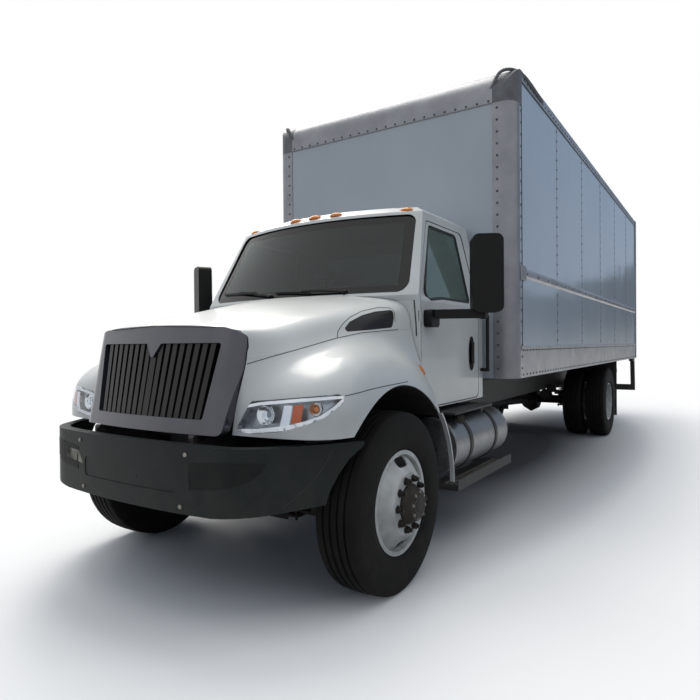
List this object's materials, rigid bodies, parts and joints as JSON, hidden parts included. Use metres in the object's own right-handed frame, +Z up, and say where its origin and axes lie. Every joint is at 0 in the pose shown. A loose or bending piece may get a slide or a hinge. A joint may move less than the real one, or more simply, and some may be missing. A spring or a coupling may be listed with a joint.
{
  "type": "box truck",
  "caption": "Two-axle box truck with a conventional cab, tilting hood, opening doors, steered front wheels, twin rear wheels and a tall van body with a roll-up door.",
  "frame": {"origin": "on the ground under the middle of the overall box", "axes": "+Z up, the bumper faces -Y and the rear door +Y, +X is the truck's left side"},
  "size_m": [2.9696, 10.6, 3.7448],
  "materials": {
    "chassis_black": "satin",
    "bumper_plastic": "satin",
    "axle_iron": "rough",
    "engine_iron": "rough",
    "tank_aluminium": "satin",
    "strap_black": "matte",
    "exhaust_steel": "satin",
    "step_grey": "satin",
    "liner_plastic": "matte",
    "flap_rubber": "matte",
    "cab_white": "gloss",
    "window_glass": "gloss",
    "seat_fabric": "matte",
    "trim_plastic": "satin",
    "amber_lens": "gloss",
    "floor_wood": "satin",
    "body_white": "gloss",
    "trim_aluminium": "satin",
    "casting_grey": "satin",
    "red_lens": "gloss",
    "surround_grey": "gloss",
    "grille_black": "satin",
    "lamp_lens": "gloss",
    "tyre_rubber": "matte",
    "wheel_grey": "satin"
  },
  "bodies": {
    "truck": {"frame_rails": "chassis_black", "front_bumper": "bumper_plastic", "bumper_brackets": "chassis_black", "front_axle": "axle_iron", "leaf_springs": "axle_iron", "rear_axle": "axle_iron", "powertrain": "engine_iron", "fuel_tank": "tank_aluminium", "tank_straps": "strap_black", "battery_box": "tank_aluminium", "exhaust": "exhaust_steel", "cab_steps": "step_grey", "splash_shields": "liner_plastic", "mud_flaps": "flap_rubber", "rear_step": "chassis_black", "cab_shell": "cab_white", "cab_glass": "window_glass", "seats": "seat_fabric", "seat_bases": "trim_plastic", "dashboard": "trim_plastic", "marker_lamps": "amber_lens", "grab_handles": "trim_plastic", "box_floor": "floor_wood", "box_side_left": "body_white", "box_side_right": "body_white", "box_front_wall": "body_white", "box_roof": "body_white", "box_corner_trim": "trim_aluminium", "box_corner_castings": "casting_grey", "box_rear_frame": "trim_aluminium", "roll_up_door": "body_white", "side_rub_rails": "trim_aluminium", "tail_lamps": "red_lens"},
    "hood": {"hood_panel": "cab_white", "fender_left": "cab_white", "fender_right": "cab_white", "grille_surround": "surround_grey", "grille_bars": "grille_black", "headlamps": "lamp_lens", "intake_louvres": "grille_black", "wheel_liners": "liner_plastic", "hood_hinges": "chassis_black"},
    "door_left": {"door_left": "cab_white", "door_glass_left": "window_glass", "mirror_left": "trim_plastic"},
    "door_right": {"door_right": "cab_white", "door_glass_right": "window_glass", "mirror_right": "trim_plastic"},
    "knuckle_left": {"knuckle_left": "axle_iron"},
    "knuckle_right": {"knuckle_right": "axle_iron"},
    "tie_rod": {"tie_rod": "axle_iron"},
    "wheel_front_left": {"tyre_front_left": "tyre_rubber", "wheel_front_left": "wheel_grey"},
    "wheel_front_right": {"tyre_front_right": "tyre_rubber", "wheel_front_right": "wheel_grey"},
    "wheels_rear_left": {"tyres_rear_left": "tyre_rubber", "wheels_rear_left": "wheel_grey"},
    "wheels_rear_right": {"tyres_rear_right": "tyre_rubber", "wheels_rear_right": "wheel_grey"}
  },
  "joints": [
    {"name": "steer_left", "type": "hinge", "parent": "truck", "child": "knuckle_left", "pos_m": [0.92, -4.3, 0.522], "axis": [0, 0, 1], "range_deg": [-40, 40]},
    {"name": "steer_right", "type": "hinge", "parent": "truck", "child": "knuckle_right", "pos_m": [-0.92, -4.3, 0.522], "axis": [0, 0, 1], "range_deg": [-40, 40]},
    {"name": "tie_rod_pivot", "type": "hinge", "parent": "knuckle_left", "child": "tie_rod", "pos_m": [0.92, -4.11, 0.407], "axis": [0, 0, 1], "range_deg": [-40, 40]},
    {"name": "spin_front_left", "type": "hinge", "parent": "knuckle_left", "child": "wheel_front_left", "pos_m": [1.027, -4.3, 0.522], "axis": [1, 0, 0], "continuous": true},
    {"name": "spin_front_right", "type": "hinge", "parent": "knuckle_right", "child": "wheel_front_right", "pos_m": [-1.027, -4.3, 0.522], "axis": [1, 0, 0], "continuous": true},
    {"name": "spin_rear_left", "type": "hinge", "parent": "truck", "child": "wheels_rear_left", "pos_m": [0.902, 2.431, 0.522], "axis": [1, 0, 0], "continuous": true},
    {"name": "spin_rear_right", "type": "hinge", "parent": "truck", "child": "wheels_rear_right", "pos_m": [-0.902, 2.431, 0.522], "axis": [1, 0, 0], "continuous": true},
    {"name": "door_left_hinge", "type": "hinge", "parent": "truck", "child": "door_left", "pos_m": [0.997, -3.746, 1.5], "axis": [0, 0, -1], "range_deg": [0, 70]},
    {"name": "door_right_hinge", "type": "hinge", "parent": "truck", "child": "door_right", "pos_m": [-0.997, -3.746, 1.5], "axis": [0, 0, 1], "range_deg": [0, 70]},
    {"name": "hood_tilt", "type": "hinge", "parent": "truck", "child": "hood", "pos_m": [0, -5.185, 0.955], "axis": [1, 0, 0], "range_deg": [0, 55]}
  ],
  "couplings": [
    {"joint": "steer_right", "follows": "steer_left", "ratio": 1},
    {"joint": "tie_rod_pivot", "follows": "steer_left", "ratio": -1}
  ]
}
